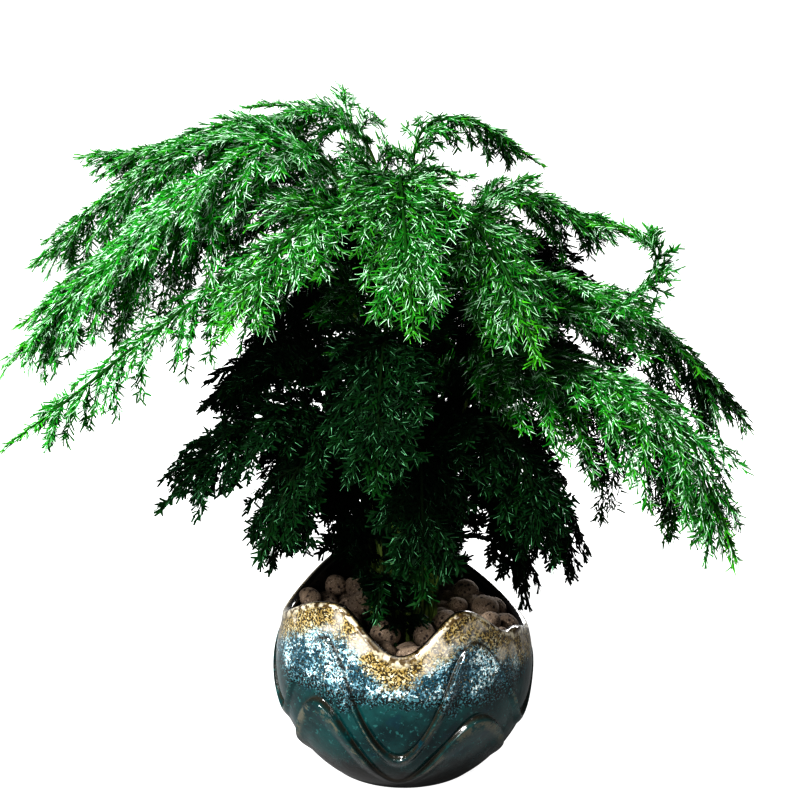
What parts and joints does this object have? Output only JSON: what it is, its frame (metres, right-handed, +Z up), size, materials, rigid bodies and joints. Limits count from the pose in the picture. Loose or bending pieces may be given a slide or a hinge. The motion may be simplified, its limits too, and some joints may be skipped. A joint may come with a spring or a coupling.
{
  "type": "potted lace fern",
  "caption": "Arching lace fern with feathery needle-like leaves on wiry stems, in a round glazed pot with a waved rim and clay pebbles over the soil.",
  "frame": {"origin": "centre of the pot's flat foot, on the surface that it stands on", "axes": "+Z up, -Y towards the front of the plant, +X to the right seen from the front"},
  "size_m": [0.3876, 0.2505, 0.3612],
  "materials": {
    "glaze": "glossy teal reactive glaze, cream and ochre speckle under the rim",
    "soil": "matte dark crumbly potting soil",
    "clay": "matte porous fired clay",
    "bright_leaf": "satin bright green",
    "shaded_leaf": "satin dark green"
  },
  "bodies": {
    "root": {"clay_pebbles": "clay", "frond_back": "bright_leaf", "frond_back_left": "shaded_leaf", "frond_back_right": "shaded_leaf", "frond_base": "shaded_leaf", "frond_climbing": "bright_leaf", "frond_crown_left": "bright_leaf", "frond_crown_right": "bright_leaf", "frond_front": "bright_leaf", "frond_front_left": "bright_leaf", "frond_front_left_low": "shaded_leaf", "frond_front_low": "shaded_leaf", "frond_front_middle": "shaded_leaf", "frond_front_right": "bright_leaf", "frond_front_right_low": "shaded_leaf", "frond_left_bright": "bright_leaf", "frond_left_hanging": "shaded_leaf", "frond_left_inner": "shaded_leaf", "frond_left_low": "shaded_leaf", "frond_left_lower": "bright_leaf", "frond_left_middle": "bright_leaf", "frond_left_spreading": "shaded_leaf", "frond_left_upper": "bright_leaf", "frond_right_drooping": "bright_leaf", "frond_right_hanging": "shaded_leaf", "frond_right_inner": "shaded_leaf", "frond_right_long": "bright_leaf", "frond_right_low": "shaded_leaf", "frond_right_middle": "bright_leaf", "frond_right_upper": "bright_leaf", "pot": "glaze", "potting_soil": "soil"}
  },
  "joints": []
}
